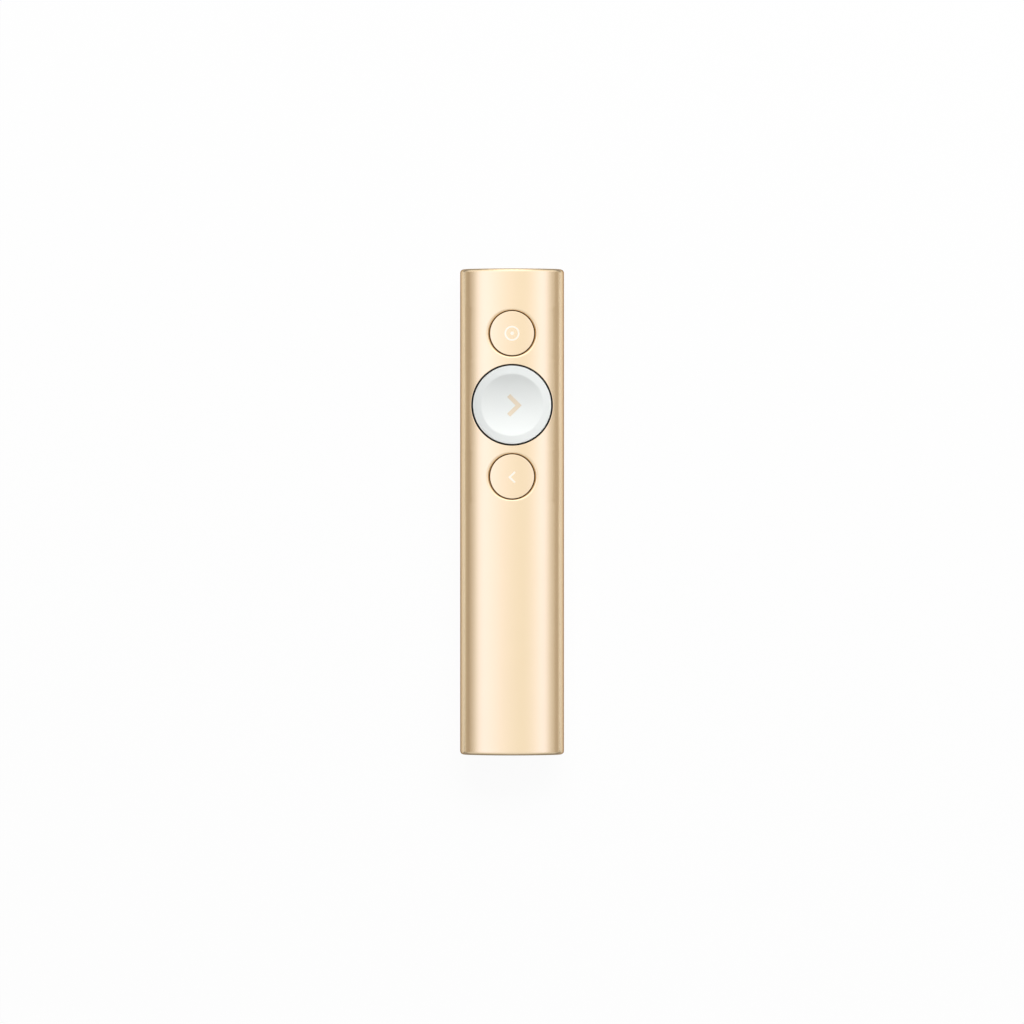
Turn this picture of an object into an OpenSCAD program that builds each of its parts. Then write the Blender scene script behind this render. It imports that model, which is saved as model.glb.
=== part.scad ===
// Wireless presentation clicker: a seamless oval aluminium sleeve with three round keys,
// a chassis that slides into it, and a plug-in radio receiver stowed in the tail.
// +Z is the face with the keys, +Y points to the nose and the tail is at -Y.

/* [Housing] */
// Overall length of the sleeve
body_length = 131.3; // [125:0.1:140]
// Overall width of the sleeve
body_width = 28.1; // [27.6:0.1:30]
// Thickness of the sleeve, from the table to the crown
body_depth = 12.1; // [11.9:0.1:13]
// Radius of the two long sides
side_radius = 4.2; // [4:0.1:4.6]
// Depth of the narrow flat that is planed along the back
rest_flat = 0.24; // [0.1:0.02:0.4]
// Wall of the aluminium extrusion
sleeve_wall = 1.2; // [1:0.05:1.3]
// Round-over of the sleeve's end rims
end_round = 0.9; // [0.3:0.1:0.9]

/* [Keys] */
// Distance from the nose rim back to the centre of the pointer key
pointer_from_nose = 17.5; // [17:0.05:18.5]
// Distance between neighbouring key centres
key_pitch = 19.3; // [19.1:0.1:20]
// Radius of the pointer and back keys
small_r = 5.95; // [5:0.05:6]
// Radius of the next key
next_r = 10.55; // [10:0.05:10.6]
// Radius of the dish in the next key
dish_r = 8.35; // [6:0.05:8.6]
// Gap between a small key and its hole in the sleeve
key_gap = 0.27; // [0.2:0.01:0.3]
// Gap between the next key and its hole in the sleeve
next_gap = 0.37; // [0.25:0.01:0.4]
// Thickness of the metal caps of the two small keys
cap_thickness = 1.1; // [0.7:0.1:1.2]
// How far a key travels when it is pressed
key_travel = 0.4; // [0.2:0.05:0.4]
// Width of the lip under the sleeve that keeps a key in
lip = 0.5; // [0.4:0.05:0.6]

/* [Chassis] */
// Clearance between the sleeve and what slides into it
slide_fit = 0.15; // [0.1:0.01:0.2]
// Wall of the chassis tray
tray_wall = 0.9; // [0.7:0.05:1]
// Height of the tray's edge above the table
tray_top = 6.85; // [6.5:0.05:7]
// Depth that the end covers sit inside the sleeve
cover_recess = 0.3; // [0.1:0.05:0.5]
// Thickness of the nose cover's face
cover_thickness = 2; // [1.5:0.1:2.5]

/* [Electronics] */
// Thickness of the circuit boards
board_thickness = 0.8; // [0.6:0.1:1]
// Height of the main board's upper side above the table
board_top = 5; // [4.9:0.05:5.1]
// Width of the main board
board_width = 20.8; // [19:0.1:21]
// How far the main board runs past the centre of the back key, towards the tail
board_tail = 12.1; // [11.5:0.1:14]
// Width of the battery pouch
battery_width = 15; // [12:0.5:15]
// Thickness of the battery pouch
battery_thickness = 4; // [3:0.1:4.5]

/* [Receiver] */
// Width of the USB plug's metal shell
plug_width = 12; // [12:0.05:12.1]
// Height of the USB plug's metal shell
plug_height = 4.5; // [4.4:0.05:4.6]
// Length of the USB plug's metal shell
plug_length = 12; // [11:0.1:12.5]
// Sheet thickness of the USB plug's shell
plug_sheet = 0.3; // [0.25:0.01:0.35]
// Length of the moulded neck between the grip and the plug
neck_length = 7.5; // [6:0.1:8]
// Thickness of the receiver's grip plate
grip_thickness = 2; // [1.6:0.1:2.4]
// Sideways offset of the receiver's plug
plug_x = -4.6; // [-4.8:0.1:-4.5]
// Sideways offset of the charging port
port_x = 7.1; // [7:0.05:7.2]

/* [Hidden] */
$fn = 96;

// Outline of the sleeve: four tangent arcs, two crowns and two sides.
half_width = body_width / 2;
half_depth = (body_depth + rest_flat) / 2;
mid_z = body_depth - half_depth;
side_x = half_width - side_radius;
crown_radius = (side_x * side_x + half_depth * half_depth - side_radius * side_radius)
    / (2 * (half_depth - side_radius));
crown_drop = crown_radius - half_depth;
half_length = body_length / 2;

// Height of the oval's upper surface at a sideways distance x, at a depth under the outer skin.
function crown_z(x, inset) =
    mid_z - crown_drop + sqrt(pow(crown_radius - inset, 2) - x * x);
// Height of the oval's lower surface, likewise.
function belly_z(x, inset) = 2 * mid_z - crown_z(x, inset);

// Keys.
small_hole_r = small_r + key_gap;
next_hole_r = next_r + next_gap;
pointer_y = half_length - pointer_from_nose;
next_y = pointer_y - key_pitch;
back_y = next_y - key_pitch;
under_sleeve = sleeve_wall + 0.12;
small_flange_r = small_hole_r + lip;
small_core_r = small_r - 0.35;
small_skirt_z = body_depth - 3.1;
small_pocket = 0.8;
key_wall = 0.9;
key_rib = 0.8;
next_skirt_z = body_depth - 3.6;
next_shell = 1.1;
next_pocket_z = body_depth - 2.4;
next_rib_depth = 0.6;
dish_depth = crown_radius - sqrt(crown_radius * crown_radius - dish_r * dish_r);
lug_half_width = 3.2;
lug_arm = 1;
lug_gap = 0.1;
lug_r = next_hole_r + 2 * lip - 0.2;
stem_r = 1.2;
guide_r = 0.8;
guide_from_rim = 4.05;
guide_x = next_r - guide_from_rim;
guide_z = board_top + 0.6;
running_gap = 0.08;

// Switches under the keys, and the frame over them.
switch_size = 4.6;
switch_height = 1.5;
plunger_r = 0.9;
plunger_top = board_top + 2.1;
plunger_length = 1.1;
dome_r = 1.6;
dome_rise = 0.45;
dome_sheet = 0.1;
switch_floor = 0.45;
frame_z = board_top + 1.9;
frame_plate = 0.8;
frame_top = frame_z + frame_plate;
frame_width = board_width + 0.4;
switch_window_r = 3.6;
bush_wall = 0.8;
ring_wall = 0.8;
stop_gap = 0.05;
screw_x = board_width / 2 - 2.4;
screw_from_key = 4.6;
screw_ys = [back_y - screw_from_key, pointer_y + screw_from_key];
frame_past_screw = 2.3;
frame_y0 = screw_ys[0] - frame_past_screw;
frame_y1 = screw_ys[1] + frame_past_screw;
frame_corner = 1.5;
screw_r = 0.7;
screw_head_r = 1.25;
screw_head = 0.6;
thread_r = 0.6;
boss_r = 1.9;

// Latch arms of the nose cover, which hook into notches in the tray's walls.
arm_thickness = 0.8;
arm_height = 1.2;
arm_gap = 0.2;
arm_root = 0.5;
arm_length = 6.4;
hook_length = 0.8;
hook_slope = 0.55;
hook_reach = 0.75;
hook_gap = 0.1;

// Chassis tray.
tray_inset = sleeve_wall + slide_fit;
tray_inner = tray_inset + tray_wall;
tail_plate_thickness = 1.5;
grip_y0 = -half_length + cover_recess;
grip_y1 = grip_y0 + grip_thickness;
tail_plate_y0 = grip_y1 + slide_fit;
tail_plate_y1 = tail_plate_y0 + tail_plate_thickness;
tray_y0 = tail_plate_y1 + 0.05;
nose_y1 = half_length - cover_recess;
nose_y0 = nose_y1 - cover_thickness;
nose_skirt = 2.8;
tray_y1 = nose_y0 - nose_skirt - 0.25;
rail_height = 0.8;
rail_reach = 1.1;
board_rib = 1;
finger_width = 4;
finger_length = 6.5;
finger_slit = 0.5;

// Main board, from the battery's end to the nose.
board_y1 = tray_y1 - 0.3;
board_y0 = back_y - board_tail;
board_length = board_y1 - board_y0;
board_bottom = board_top - board_thickness;
part_row_x = board_width / 2 - 1.8;
part_size = [0.6, 1, 0.45];
part_pitch = 1.7;
chip_side = 3;
chip_height = 0.85;
crystal_size = [3.2, 2.5, 0.8];
crystal_x = 2.6;
crystal_from_key = 7.2;
can_size = [11, 8, 1.4];
can_sheet = 0.2;

// Receiver.
dock_clearance = 0.1;
tongue_thickness = 1.9;
contact_x = [-3.5, -1, 1, 3.5];
contact_length = [9, 8, 8, 9];
latch_x = 2.5;
latch_window = [2.2, 2];
latch_from_neck = 5;
shell_seam = 0.1;
nail_groove_r = 0.9;
nail_groove_length = 14;
neck_width = plug_width + 0.6;
neck_height = plug_height + 0.5;
neck_corner = 1.5;
neck_wall = 0.9;
neck_y1 = grip_y1 + neck_length;
plug_y1 = neck_y1 + plug_length;
dock_wall = 0.6;
dock_y1 = plug_y1 + 1.2;

// Battery bay, between the dock and the main board. The pouch fills it.
battery_x = -1.1;
bay_wall = 1.2;
bay_gap = 0.2;
lead_length = 5.5;
battery_y0 = dock_y1 + 1.35 + bay_wall + bay_gap;
battery_y1 = board_y0 - lead_length;
battery_length = battery_y1 - battery_y0;
battery_flap = 2.2;
bed_z = belly_z(battery_width / 2 + abs(battery_x), tray_inner) + 0.06;
pad_thickness = 0.4;
pad_margin = 1;
battery_z0 = bed_z + pad_thickness;
lead_r = 0.45;
lead_xs = [-5.4, -4.1];
lead_z = board_top + 1;
plug_in_length = 4;
plug_in_height = 1.7;

// Charging port, its board and the flat ribbon to the main board.
port_width = 8.94;
port_height = 3.16;
port_sheet = 0.3;
port_length = 7.3;
port_back = 0.8;
port_tongue_width = 6.7;
port_tongue_height = 0.7;
port_tongue_recess = 0.6;
tab_x = 2.9;
tab_size = [1, 1.4];
port_y0 = tail_plate_y0 + 0.1;
port_y1 = port_y0 + port_length;
charge_top = board_top + 1;
charge_width = 8;
charge_x0 = port_x - charge_width / 2 - slide_fit;
charge_x1 = charge_x0 + charge_width;
charge_length = 10;
charge_y1 = port_y1 + charge_length;
ribbon_width = 2.8;
ribbon_x = battery_x + battery_width / 2 + 0.6 + ribbon_width / 2;
ribbon_sheet = 0.12;
ribbon_lift = 0.3;
ribbon_tail = 2.5;
ribbon_y0 = charge_y1 - ribbon_tail;
ribbon_y1 = board_y0 + ribbon_tail;
clip_length = 2.4;
clip_height = 1;
clip_wall = 0.4;
pipe_z = mid_z + 2.67;
pipe_r = 0.7;
led_y = port_y1 + 2;

// Vibration motor.
motor_r = 2;
motor_length = 8.2;
motor_bore = 4;
motor_nose_r = 0.9;
motor_nose = 0.3;
motor_lead_r = 0.18;
motor_lead_out = 0.3;
motor_lead_spread = 0.8;
motor_x0 = -5.9;
motor_y = board_y1 - motor_r - 0.1;
motor_z = board_top + motor_r + 0.3;
shaft_r = 0.35;
weight_r = 1.85;
weight_length = 2.7;
weight_gap = 0.6;
weight_x0 = motor_x0 + motor_length + weight_gap;

gold = [0.93, 0.82, 0.63];
white = [0.93, 0.94, 0.94];
charcoal = [0.16, 0.16, 0.17];
board_green = [0.1, 0.35, 0.2];
steel = [0.75, 0.76, 0.78];
contact_gold = [0.9, 0.72, 0.3];

// ---- Shared shapes ----

// Turns a flat outline drawn in X and Z into a bar along +Y, from y0 to y1.
module along_y(y0, y1) {
    translate([0, y1, 0])
        rotate([90, 0, 0])
            linear_extrude(height = y1 - y0)
                children();
}

// A cylinder along +Y, from y0 to y1.
module rod_y(r, y0, y1) {
    translate([0, y1, 0])
        rotate([90, 0, 0])
            cylinder(r = r, h = y1 - y0);
}

// A flat rectangle with round corners, centred.
module round_rect(w, h, r) {
    square([w - 2 * r, h], center = true);
    square([w, h - 2 * r], center = true);
    for (sx = [-1, 1], sy = [-1, 1])
        translate([sx * (w / 2 - r), sy * (h / 2 - r)])
            circle(r = r);
}

// A slot-shaped outline, centred, w wide and h high.
module stadium(w, h) {
    square([w - h, h], center = true);
    for (s = [-1, 1])
        translate([s * (w - h) / 2, 0])
            circle(r = h / 2);
}

// The part of the plane that belongs to one long side: out past the two tangent points, and
// between them inwards to a point behind the side's centre, so that it overlaps the crowns.
module side_wedge(inset) {
    t = (side_radius - inset) / (crown_radius - side_radius);
    tangent = [side_x + t * side_x, t * crown_drop];
    polygon([[side_x - side_radius / 2, 0], tangent, [2 * side_x, crown_drop],
        [3 * side_x, crown_drop], [3 * side_x, -crown_drop], [2 * side_x, -crown_drop],
        [tangent[0], -tangent[1]]]);
}

// The part of the plane between the two long sides' tangent points and centres.
module crown_band() {
    polygon([[side_x, 0], [2 * side_x, crown_drop], [-2 * side_x, crown_drop],
        [-side_x, 0], [-2 * side_x, -crown_drop], [2 * side_x, -crown_drop]]);
}

// A bar with the sleeve's four-arc outline, at a depth under the outer skin, from y0 to y1.
module oval_bar(inset, y0, y1) {
    along_y(y0, y1)
        translate([0, mid_z])
            intersection() {
                crown_band();
                translate([0, -crown_drop])
                    circle(r = crown_radius - inset);
                translate([0, crown_drop])
                    circle(r = crown_radius - inset);
            }
    for (s = [0, 1])
        mirror([s, 0, 0])
            along_y(y0, y1)
                translate([0, mid_z])
                    intersection() {
                        side_wedge(inset);
                        translate([side_x, 0])
                            circle(r = side_radius - inset);
                    }
}

// A disc of radius r with rounded rims, its axis along Y and centred on the origin.
module round_disc(r) {
    rotate([90, 0, 0])
        rotate_extrude()
            intersection() {
                round_rect(2 * r, body_length, end_round);
                translate([0, -half_length])
                    square([r, body_length]);
            }
}

// The sleeve's outer form: the oval bar with rounded rims at both ends.
module sleeve_block() {
    intersection() {
        along_y(-half_length, half_length)
            translate([0, mid_z])
                crown_band();
        translate([0, 0, mid_z - crown_drop])
            round_disc(crown_radius);
        translate([0, 0, mid_z + crown_drop])
            round_disc(crown_radius);
    }
    for (s = [0, 1])
        mirror([s, 0, 0])
            intersection() {
                along_y(-half_length, half_length)
                    translate([0, mid_z])
                        side_wedge(0);
                translate([side_x, 0, mid_z])
                    round_disc(side_radius);
            }
}

// ---- Housing ----

// The seamless extruded sleeve, with three key holes and two guide rails inside.
module housing_sleeve() {
    color(gold) {
        difference() {
            sleeve_block();
            oval_bar(sleeve_wall, -half_length - 1, half_length + 1);
            translate([-half_width, -half_length - 1, -1])
                cube([body_width, body_length + 2, 1]);
            key_holes();
        }
        sleeve_rails();
    }
}

// The three holes, from the middle of the sleeve up through its face.
module key_holes() {
    for (y = [pointer_y, back_y])
        translate([0, y, mid_z + side_radius / 2])
            cylinder(r = small_hole_r, h = body_depth);
    translate([0, next_y, mid_z + 2])
        cylinder(r = next_hole_r, h = body_depth);
}

// Two rails along the inner sides, which hold the tray down.
module sleeve_rails() {
    rail_x = side_x + side_radius - sleeve_wall - rail_reach;
    intersection() {
        oval_bar(sleeve_wall * 0.6, tail_plate_y1 + 0.3, tray_y1);
        for (s = [0, 1])
            mirror([s, 0, 0])
                translate([rail_x, tail_plate_y1, tray_top + slide_fit])
                    cube([side_radius, body_length, rail_height]);
    }
}

// The nose cover: a face with a skirt behind it, seated inside the sleeve, and two arms that
// latch it to the tray.
module nose_cover() {
    color(charcoal) {
        difference() {
            union() {
                oval_bar(sleeve_wall + 0.05, nose_y0, nose_y1);
                oval_bar(tray_inset, nose_y0 - nose_skirt, nose_y0);
            }
            oval_bar(tray_inner, nose_y0 - nose_skirt - 1, nose_y0);
        }
        for (s = [0, 1])
            mirror([s, 0, 0])
                latch_arm();
    }
}

// One arm: it grows from the skirt, runs back along the tray's inner wall and ends in a hook
// with a sloped nose.
module latch_arm() {
    x0 = half_width - tray_inner - arm_gap - arm_thickness;
    x1 = x0 + arm_thickness;
    y0 = nose_y0 - arm_length;
    root_y = nose_y0 - nose_skirt;
    translate([0, 0, mid_z - arm_height / 2])
        linear_extrude(height = arm_height)
            polygon([[x0, nose_y0 + 0.1], [x0, y0], [x1, y0], [x1 + hook_reach, y0 + hook_slope],
                [x1 + hook_reach, y0 + hook_length], [x1, y0 + hook_length], [x1, root_y],
                [x1 + arm_root, root_y + 0.1], [x1 + arm_root, nose_y0 + 0.1]]);
}

// ---- Chassis ----

// The moulded tray that carries everything, with the receiver's dock at its tail.
module chassis() {
    color([0.22, 0.22, 0.24]) {
        difference() {
            union() {
                tray_shell();
                dock_block();
                screw_bosses();
                battery_walls();
                port_supports();
                board_ribs();
            }
            dock_cavity();
            dock_finger_slits();
            latch_notches();
            for (x = [-screw_x, screw_x], y = screw_ys)
                translate([x, y, belly_z(0, tray_inner) + 0.2])
                    cylinder(r = thread_r, h = body_depth);
        }
    }
}

// The lower half of an oval tube.
module tray_shell() {
    difference() {
        intersection() {
            oval_bar(tray_inset, tray_y0, tray_y1);
            translate([-half_width, -half_length, 0])
                cube([body_width, body_length, tray_top]);
        }
        oval_bar(tray_inner, tray_y0 - 1, tray_y1 + 1);
    }
}

// The closed pocket for the stowed receiver.
module dock_block() {
    intersection() {
        oval_bar(tray_inset, tray_y0, dock_y1);
        translate([plug_x, 0, mid_z])
            rotate([90, 0, 0])
                translate([0, 0, -dock_y1])
                    linear_extrude(height = dock_y1 - tray_y0)
                        square([neck_width + 2 * dock_wall, 2 * half_depth], center = true);
        dock_height_limit();
    }
}

// The dock is only as high as its pocket and walls.
module dock_height_limit() {
    dock_top = mid_z + neck_height / 2 + dock_clearance + dock_wall;
    translate([-half_width, -half_length, 0])
        cube([body_width, body_length, dock_top]);
}

// The room for the neck, and past it the room for the plug.
module dock_cavity() {
    translate([plug_x, 0, mid_z]) {
        along_y(tray_y0 - 1, neck_y1 + dock_clearance)
            round_rect(neck_width + 2 * dock_clearance, neck_height + 2 * dock_clearance, neck_corner);
        along_y(neck_y1, plug_y1 + dock_clearance)
            square([plug_width + 2 * dock_clearance, plug_height + 2 * dock_clearance], center = true);
    }
}

// Four posts that the main board and the frame are screwed to.
module screw_bosses() {
    intersection() {
        oval_bar(tray_inset, tray_y0, tray_y1);
        for (x = [-screw_x, screw_x], y = screw_ys)
            translate([x, y, 0])
                cylinder(r = boss_r, h = board_bottom);
    }
}

// A wall across the tray's floor, between two sideways places, from y on, up to top_z.
module cross_wall(x0, x1, y, thickness, top_z) {
    intersection() {
        oval_bar(tray_inset, tray_y0, tray_y1);
        translate([x0, y, 0])
            cube([x1 - x0, thickness, top_z]);
    }
}

// Cross ribs under the battery and a wall at each of its ends.
module battery_walls() {
    x0 = battery_x - battery_width / 2;
    x1 = battery_x + battery_width / 2;
    for (i = [1:3])
        cross_wall(x0, x1, battery_y0 + i * battery_length / 4, bay_wall, bed_z);
    for (y = [battery_y0 - bay_gap - bay_wall, battery_y1 + bay_gap])
        cross_wall(x0, x1, y, bay_wall, lead_z - 1);
}

// A rib under each switch, so that the board doesn't bend when a key is pressed.
module board_ribs() {
    rib_x = screw_x - boss_r - 0.3;
    for (y = [pointer_y, next_y, back_y])
        cross_wall(-rib_x, rib_x, y - board_rib / 2, board_rib, board_bottom);
}

// Slits in the dock's roof that free a spring finger, which presses on the receiver's neck.
module dock_finger_slits() {
    y0 = tray_y0 + 0.6;
    translate([plug_x, y0, mid_z + neck_height / 2]) {
        for (s = [-1, 1])
            translate([s * finger_width / 2 - finger_slit / 2, 0, 0])
                cube([finger_slit, finger_length, half_depth]);
        translate([-finger_width / 2, 0, 0])
            cube([finger_width, finger_slit, half_depth]);
    }
}

// Notches in both walls of the tray for the nose cover's hooks.
module latch_notches() {
    for (s = [0, 1])
        mirror([s, 0, 0])
            translate([side_x, nose_y0 - arm_length - hook_gap, mid_z - arm_height / 2 - hook_gap])
                cube([side_radius, hook_length + 2 * hook_gap, half_depth]);
}

// Two ribs under the charging board and a cradle under the port's shell.
module port_supports() {
    for (y = [port_y1 + 3, charge_y1 - 3])
        cross_wall(charge_x0 + 0.5, charge_x1 - 0.5, y, bay_wall, charge_top - board_thickness);
    difference() {
        cross_wall(port_x - 4, port_x + 4, port_y0 + 3, bay_wall, mid_z);
        translate([port_x, 0, mid_z])
            along_y(port_y0, port_y1)
                stadium(port_width + 0.1, port_height + 0.1);
    }
}

// The fixed plate behind the grip, with the mouths of the dock and the charging port.
module tail_plate() {
    color(charcoal)
        difference() {
            oval_bar(sleeve_wall + 0.05, tail_plate_y0, tail_plate_y1);
            translate([plug_x, 0, mid_z])
                along_y(tail_plate_y0 - 1, tail_plate_y1 + 1)
                    round_rect(neck_width + 3 * dock_clearance, neck_height + 3 * dock_clearance,
                        neck_corner);
            translate([port_x, 0, mid_z])
                along_y(tail_plate_y0 - 1, tail_plate_y1 + 1)
                    stadium(port_width + 0.2, port_height + 0.2);
            translate([port_x, 0, pipe_z])
                rod_y(pipe_r + 0.05, tail_plate_y0 - 1, tail_plate_y1 + 1);
        }
}

// ---- Keys ----

// The gold cap of a small key: a disc whose two faces follow the sleeve's crown.
module small_cap(y) {
    color(gold)
        translate([0, y, 0])
            intersection() {
                translate([0, 0, mid_z])
                    cylinder(r = small_r, h = body_depth);
                difference() {
                    oval_bar(0, -small_r - 1, small_r + 1);
                    oval_bar(cap_thickness, -small_r - 2, small_r + 2);
                }
            }
}

// The black key under it: a core, a lip under the sleeve, ribs and the stem.
module small_carrier(y) {
    color(charcoal)
        translate([0, y, 0]) {
            difference() {
                union() {
                    intersection() {
                        translate([0, 0, small_skirt_z])
                            cylinder(r = small_core_r, h = body_depth);
                        oval_bar(cap_thickness, -small_r - 1, small_r + 1);
                    }
                    intersection() {
                        translate([0, 0, small_skirt_z])
                            cylinder(r = small_flange_r, h = body_depth);
                        oval_bar(under_sleeve, -small_r - 3, small_r + 3);
                    }
                }
                translate([0, 0, small_skirt_z - 1])
                    cylinder(r = small_core_r - key_wall, h = small_pocket + 1);
            }
            key_ribs(small_core_r - key_wall / 2, small_skirt_z + 0.1, small_skirt_z + small_pocket);
            key_stem(small_skirt_z + small_pocket);
        }
}

// The stem that presses the switch.
module key_stem(top_z) {
    translate([0, 0, plunger_top])
        cylinder(r = stem_r, h = top_z - plunger_top);
}

// A cross of ribs that stiffens a key from below.
module key_ribs(reach, z0, z1) {
    for (a = [0, 90])
        rotate([0, 0, a])
            translate([-reach, -key_rib / 2, z0])
                cube([2 * reach, key_rib, z1 - z0]);
}

// The white cap of the next key. The dish is cut by a round bar across the key of the
// crown's own radius, so its edge is a circle and its floor is straight from side to side.
module next_cap() {
    color(white)
        translate([0, next_y, 0])
            difference() {
                intersection() {
                    translate([0, 0, next_skirt_z])
                        cylinder(r = next_r, h = body_depth);
                    oval_bar(0, -next_r - 1, next_r + 1);
                }
                translate([0, 0, body_depth - dish_depth + crown_radius])
                    rotate([0, 90, 0])
                        cylinder(r = crown_radius, h = 2 * next_hole_r, center = true);
                translate([0, 0, next_skirt_z - 1])
                    cylinder(r = next_r - next_shell, h = next_pocket_z - next_skirt_z + 1);
                translate([-lug_half_width - lug_gap, -next_r - 1, next_skirt_z - 1])
                    cube([2 * (lug_half_width + lug_gap), 2 * next_r + 2,
                        next_pocket_z - next_skirt_z + 1]);
            }
}

// The black key under it, with two lugs under the sleeve and two guide posts.
module next_carrier() {
    disc_r = next_r - next_shell - 0.05;
    color(charcoal)
        translate([0, next_y, 0]) {
            difference() {
                union() {
                    translate([0, 0, next_skirt_z])
                        cylinder(r = disc_r, h = next_pocket_z - next_skirt_z);
                    next_lugs();
                }
                translate([0, 0, next_skirt_z - 1])
                    cylinder(r = disc_r - key_wall, h = next_rib_depth + 0.9);
            }
            key_ribs(disc_r - key_wall / 2, next_skirt_z + 0.1, next_skirt_z + next_rib_depth);
            key_stem(next_skirt_z + next_rib_depth);
            for (x = [-guide_x, guide_x])
                translate([x, 0, guide_z])
                    cylinder(r = guide_r, h = next_skirt_z + next_rib_depth - guide_z);
        }
}

// Two lugs: each passes through a notch in the cap and rises under the sleeve.
module next_lugs() {
    intersection() {
        oval_bar(under_sleeve, -lug_r - 1, lug_r + 1);
        for (s = [0, 1])
            mirror([0, s, 0]) {
                translate([-lug_half_width, next_r / 2, next_skirt_z])
                    cube([2 * lug_half_width, lug_r - next_r / 2, lug_arm]);
                translate([-lug_half_width, next_hole_r + lug_gap, next_skirt_z])
                    cube([2 * lug_half_width, lug_r - next_hole_r - lug_gap, body_depth]);
            }
    }
}

// ---- Switches ----

// A surface-mount push switch with an open well for its plunger.
module switch_body(y) {
    color(steel)
        translate([0, y, board_top])
            difference() {
                union() {
                    linear_extrude(height = switch_height)
                        round_rect(switch_size, switch_size, 0.4);
                    for (x = [-1.2, 1.2])
                        translate([x - 0.4, -switch_size / 2 - 0.7, 0])
                            cube([0.8, switch_size + 1.4, 0.25]);
                }
                translate([0, 0, switch_floor])
                    cylinder(r = dome_r + 0.1, h = switch_height - switch_floor - 0.3);
                translate([0, 0, switch_floor])
                    cylinder(r = plunger_r + running_gap, h = switch_height);
            }
}

// The plunger that a key's stem pushes.
module switch_plunger(y) {
    color(charcoal)
        translate([0, y, plunger_top - plunger_length])
            cylinder(r = plunger_r, h = plunger_length);
}

// The snap dome that lifts the plunger: a shallow spherical cap of spring steel.
module switch_dome(y) {
    ball_r = (dome_r * dome_r + dome_rise * dome_rise) / (2 * dome_rise);
    color(steel)
        translate([0, y, board_top + switch_floor + 0.02])
            intersection() {
                difference() {
                    translate([0, 0, dome_rise - ball_r])
                        sphere(r = ball_r);
                    translate([0, 0, dome_rise - ball_r])
                        sphere(r = ball_r - dome_sheet);
                }
                cylinder(r = dome_r, h = 1);
            }
}

// The frame over the board: a plate with stop rings, guide bushes and screw sleeves.
module keypad_frame() {
    color([0.3, 0.3, 0.32])
        difference() {
            union() {
                translate([0, (frame_y0 + frame_y1) / 2, frame_z])
                    linear_extrude(height = frame_plate)
                        round_rect(frame_width, frame_y1 - frame_y0, frame_corner);
                for (y = [pointer_y, back_y])
                    stop_ring(y, small_r - 0.2, small_skirt_z - key_travel - stop_gap);
                stop_ring(next_y, next_r - 0.2, next_skirt_z - key_travel - stop_gap);
                for (x = [-guide_x, guide_x])
                    translate([x, next_y, board_top + 0.1])
                        cylinder(r = guide_r + bush_wall, h = frame_z - board_top);
                for (x = [-screw_x, screw_x], y = screw_ys)
                    translate([x, y, board_top])
                        cylinder(r = boss_r, h = frame_z - board_top + 0.1);
            }
            for (y = [pointer_y, next_y, back_y])
                translate([0, y, frame_z - 1])
                    cylinder(r = switch_window_r, h = frame_plate + 2);
            translate([motor_x0 - 0.5, motor_y - motor_r - 0.6, frame_z - 1])
                cube([screw_x - boss_r - motor_x0 + 0.5, body_length, 3]);
            for (x = [-guide_x, guide_x])
                translate([x, next_y, board_top])
                    cylinder(r = guide_r + running_gap, h = body_depth);
            for (x = [-screw_x, screw_x], y = screw_ys)
                translate([x, y, board_top - 1])
                    cylinder(r = screw_r + 0.05, h = body_depth);
        }
}

// A low ring on the frame that stops a pressed key.
module stop_ring(y, r, top_z) {
    translate([0, y, frame_z])
        difference() {
            cylinder(r = r, h = top_z - frame_z);
            translate([0, 0, -1])
                cylinder(r = r - ring_wall, h = top_z - frame_z + 2);
        }
}

// Four screws through the frame and the board into the tray's posts.
module frame_screws() {
    shank = frame_top - belly_z(0, tray_inner) - 0.6;
    color(steel)
        for (x = [-screw_x, screw_x], y = screw_ys)
            translate([x, y, frame_top])
                difference() {
                    union() {
                        cylinder(r = screw_head_r, h = screw_head);
                        translate([0, 0, -shank])
                            cylinder(r = thread_r - 0.02, h = shank);
                    }
                    for (a = [0, 90])
                        rotate([0, 0, a])
                            translate([-0.7, -0.15, screw_head - 0.35])
                                cube([1.4, 0.3, 1]);
                }
}

// ---- Boards and what is on them ----

// The main board, with four screw holes and four half-round notches in its edges.
module main_board() {
    color(board_green)
        difference() {
            translate([0, (board_y0 + board_y1) / 2, board_bottom])
                linear_extrude(height = board_thickness)
                    round_rect(board_width, board_length, 1.2);
            for (x = [-screw_x, screw_x], y = screw_ys)
                translate([x, y, board_bottom - 1])
                    cylinder(r = screw_r + 0.1, h = 3);
            for (x = [-board_width / 2, board_width / 2], s = [-1, 1])
                translate([x, next_y + s * key_pitch / 2, board_bottom - 1])
                    cylinder(r = 1, h = 3);
        }
}

// Small parts on the main board: rows of passives, a charger chip and a crystal.
module board_parts() {
    color([0.12, 0.12, 0.13]) {
        for (side = [-1, 1], i = [0:6])
            translate([side * part_row_x, back_y + 4 + i * part_pitch, board_top])
                linear_extrude(height = part_size[2])
                    square([part_size[0], part_size[1]], center = true);
        for (side = [-1, 1], i = [0:3])
            translate([side * part_row_x / 2, next_y + key_pitch / 2 + (i - 1.5) * part_pitch, board_top])
                linear_extrude(height = part_size[2])
                    square([part_size[1], part_size[0]], center = true);
        translate([-chip_side / 2, next_y + key_pitch / 2 - chip_side / 2, board_top])
            cube([chip_side, chip_side, chip_height]);
        translate([crystal_x, back_y - crystal_from_key, board_top])
            cube(crystal_size);
    }
}

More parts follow.
